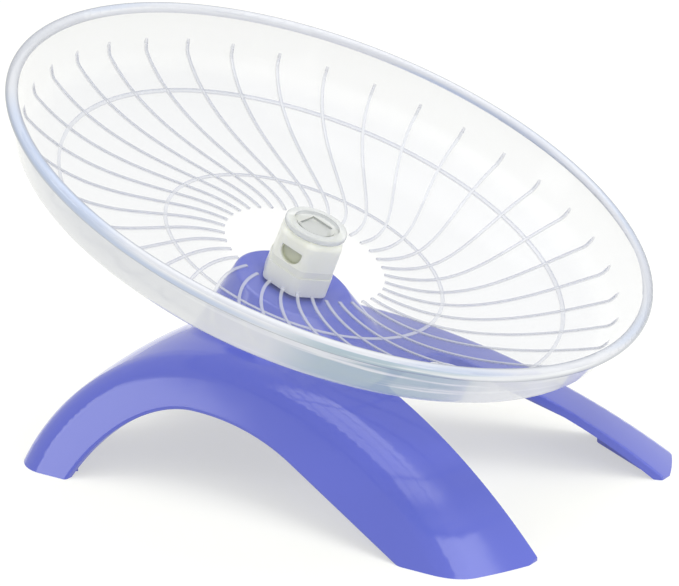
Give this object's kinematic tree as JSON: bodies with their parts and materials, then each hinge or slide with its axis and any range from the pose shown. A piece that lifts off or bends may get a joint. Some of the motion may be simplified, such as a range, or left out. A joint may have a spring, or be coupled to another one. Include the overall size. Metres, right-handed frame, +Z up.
{
  "type": "small animal running disc",
  "caption": "Clear shallow running bowl with swirled grip ribs, spinning freely on a tilted axle above a blue arched stand with splayed legs.",
  "frame": {"origin": "on the floor under the middle of the object's bounding box", "axes": "+Z up, the low side of the disc towards -Y, +X across the stand"},
  "size_m": [0.177, 0.1649, 0.1088],
  "materials": {
    "blue_plastic": "gloss",
    "clear_plastic": "clear gloss",
    "milky_plastic": "satin",
    "nylon": "satin",
    "bearing_steel": "polished",
    "zinc_steel": "zinc plated"
  },
  "bodies": {
    "base": {"stand": "blue_plastic", "axle_bolt": "zinc_steel", "bolt_washer": "zinc_steel", "seat_sleeve": "zinc_steel", "lower_inner_ring": "bearing_steel", "inner_sleeve": "zinc_steel", "upper_inner_ring": "bearing_steel", "nut_washer": "zinc_steel", "lock_nut": "zinc_steel", "nut_nylon_ring": "nylon"},
    "disc": {"running_disc": "clear_plastic", "hub_housing": "milky_plastic", "hub_cap": "clear_plastic", "lower_outer_ring": "bearing_steel", "upper_outer_ring": "bearing_steel", "outer_sleeve": "zinc_steel", "lower_shields": "bearing_steel", "upper_shields": "bearing_steel"},
    "lower_rolling_set": {"lower_balls": "bearing_steel", "lower_cage": "nylon"},
    "upper_rolling_set": {"upper_balls": "bearing_steel", "upper_cage": "nylon"}
  },
  "joints": [
    {"name": "disc_spin", "type": "hinge", "parent": "base", "child": "disc", "pos_m": [0, -0.0006, 0.0769], "axis": [0, -0.3665, 0.9304], "continuous": true},
    {"name": "lower_cage_spin", "type": "hinge", "parent": "base", "child": "lower_rolling_set", "pos_m": [0, -0.0006, 0.0769], "axis": [0, -0.3665, 0.9304], "continuous": true},
    {"name": "upper_cage_spin", "type": "hinge", "parent": "base", "child": "upper_rolling_set", "pos_m": [0, -0.0006, 0.0769], "axis": [0, -0.3665, 0.9304], "continuous": true}
  ],
  "couplings": [
    {"joint": "lower_cage_spin", "follows": "disc_spin", "ratio": 0.6},
    {"joint": "upper_cage_spin", "follows": "disc_spin", "ratio": 0.6}
  ]
}
